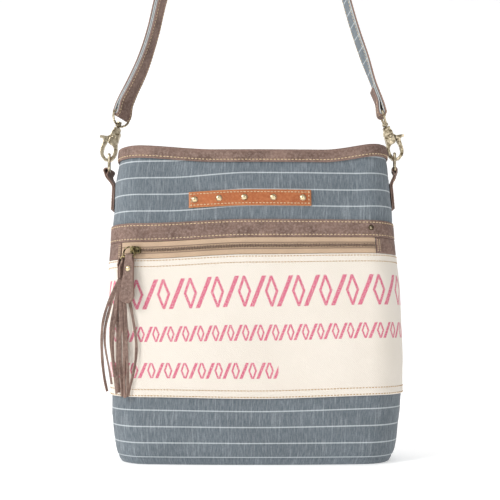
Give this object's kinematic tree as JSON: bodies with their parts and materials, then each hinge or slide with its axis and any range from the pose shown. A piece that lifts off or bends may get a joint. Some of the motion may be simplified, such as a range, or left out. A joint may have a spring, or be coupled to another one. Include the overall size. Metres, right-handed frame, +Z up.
{
  "type": "mail carrier bag",
  "caption": "Upright pinstriped canvas shoulder bag with leather trim, a cream zip pocket panel, a tassel pull and a long strap on swivel lobster clasps.",
  "frame": {"origin": "underside of the strap at the middle of its top, where it rests on a shoulder or a hook", "axes": "+Z up, from the bag's base to the top of the strap; -Y out of the bag's front, with the patch and the zip; +X to the right seen from the front"},
  "size_m": [0.323, 0.1069, 0.7311],
  "materials": {
    "striped_canvas": "grey-blue cotton canvas with thin white pinstripes",
    "cream_canvas": "cream cotton canvas, matte, with a worn red print of slanted bars",
    "brown_leather": "brown-grey leather with a soft sheen",
    "tan_leather": "tan leather with lighter burnished edges",
    "zip_cloth": "khaki herringbone zip tape",
    "aged_brass": "antique brass, darkened in the recesses",
    "pale_brass": "pale polished brass"
  },
  "bodies": {
    "bag": {"canvas_body": "striped_canvas", "strap_canvas": "striped_canvas", "cream_panel": "cream_canvas", "rim_binding": "brown_leather", "leather_band": "brown_leather", "zip_end_left": "brown_leather", "zip_end_right": "brown_leather", "pull_tab": "brown_leather", "tassel": "brown_leather", "side_tab_left": "brown_leather", "side_tab_right": "brown_leather", "strap_leather": "brown_leather", "front_patch": "tan_leather", "zip_tape": "zip_cloth", "band_stud": "aged_brass", "zip_teeth": "aged_brass", "zip_slider": "aged_brass", "pull_ring": "aged_brass", "tassel_ring": "aged_brass", "side_ring_left": "aged_brass", "side_ring_right": "aged_brass", "clasp_body_left": "aged_brass", "clasp_pin_left": "aged_brass", "clasp_eye_left": "aged_brass", "clasp_body_right": "aged_brass", "clasp_pin_right": "aged_brass", "clasp_eye_right": "aged_brass", "strap_keeper": "aged_brass", "patch_rivet_1": "pale_brass", "patch_rivet_2": "pale_brass", "patch_rivet_3": "pale_brass", "patch_rivet_4": "pale_brass", "patch_rivet_5": "pale_brass", "pull_rivet": "pale_brass", "tassel_rivet": "pale_brass"},
    "lever_left": {"clasp_lever_left": "aged_brass"},
    "lever_right": {"clasp_lever_right": "aged_brass"}
  },
  "joints": [
    {"name": "lever_left_hinge", "type": "hinge", "parent": "bag", "child": "lever_left", "pos_m": [-0.14995, 0, -0.38895], "axis": [0, 1, 0], "range_deg": [0, 25], "stiffness_Nm_per_rad": 0.02, "springref_deg": -20.05},
    {"name": "lever_right_hinge", "type": "hinge", "parent": "bag", "child": "lever_right", "pos_m": [0.14295, 0, -0.38805], "axis": [0, -1, 0], "range_deg": [0, 25], "stiffness_Nm_per_rad": 0.02, "springref_deg": -20.05}
  ]
}
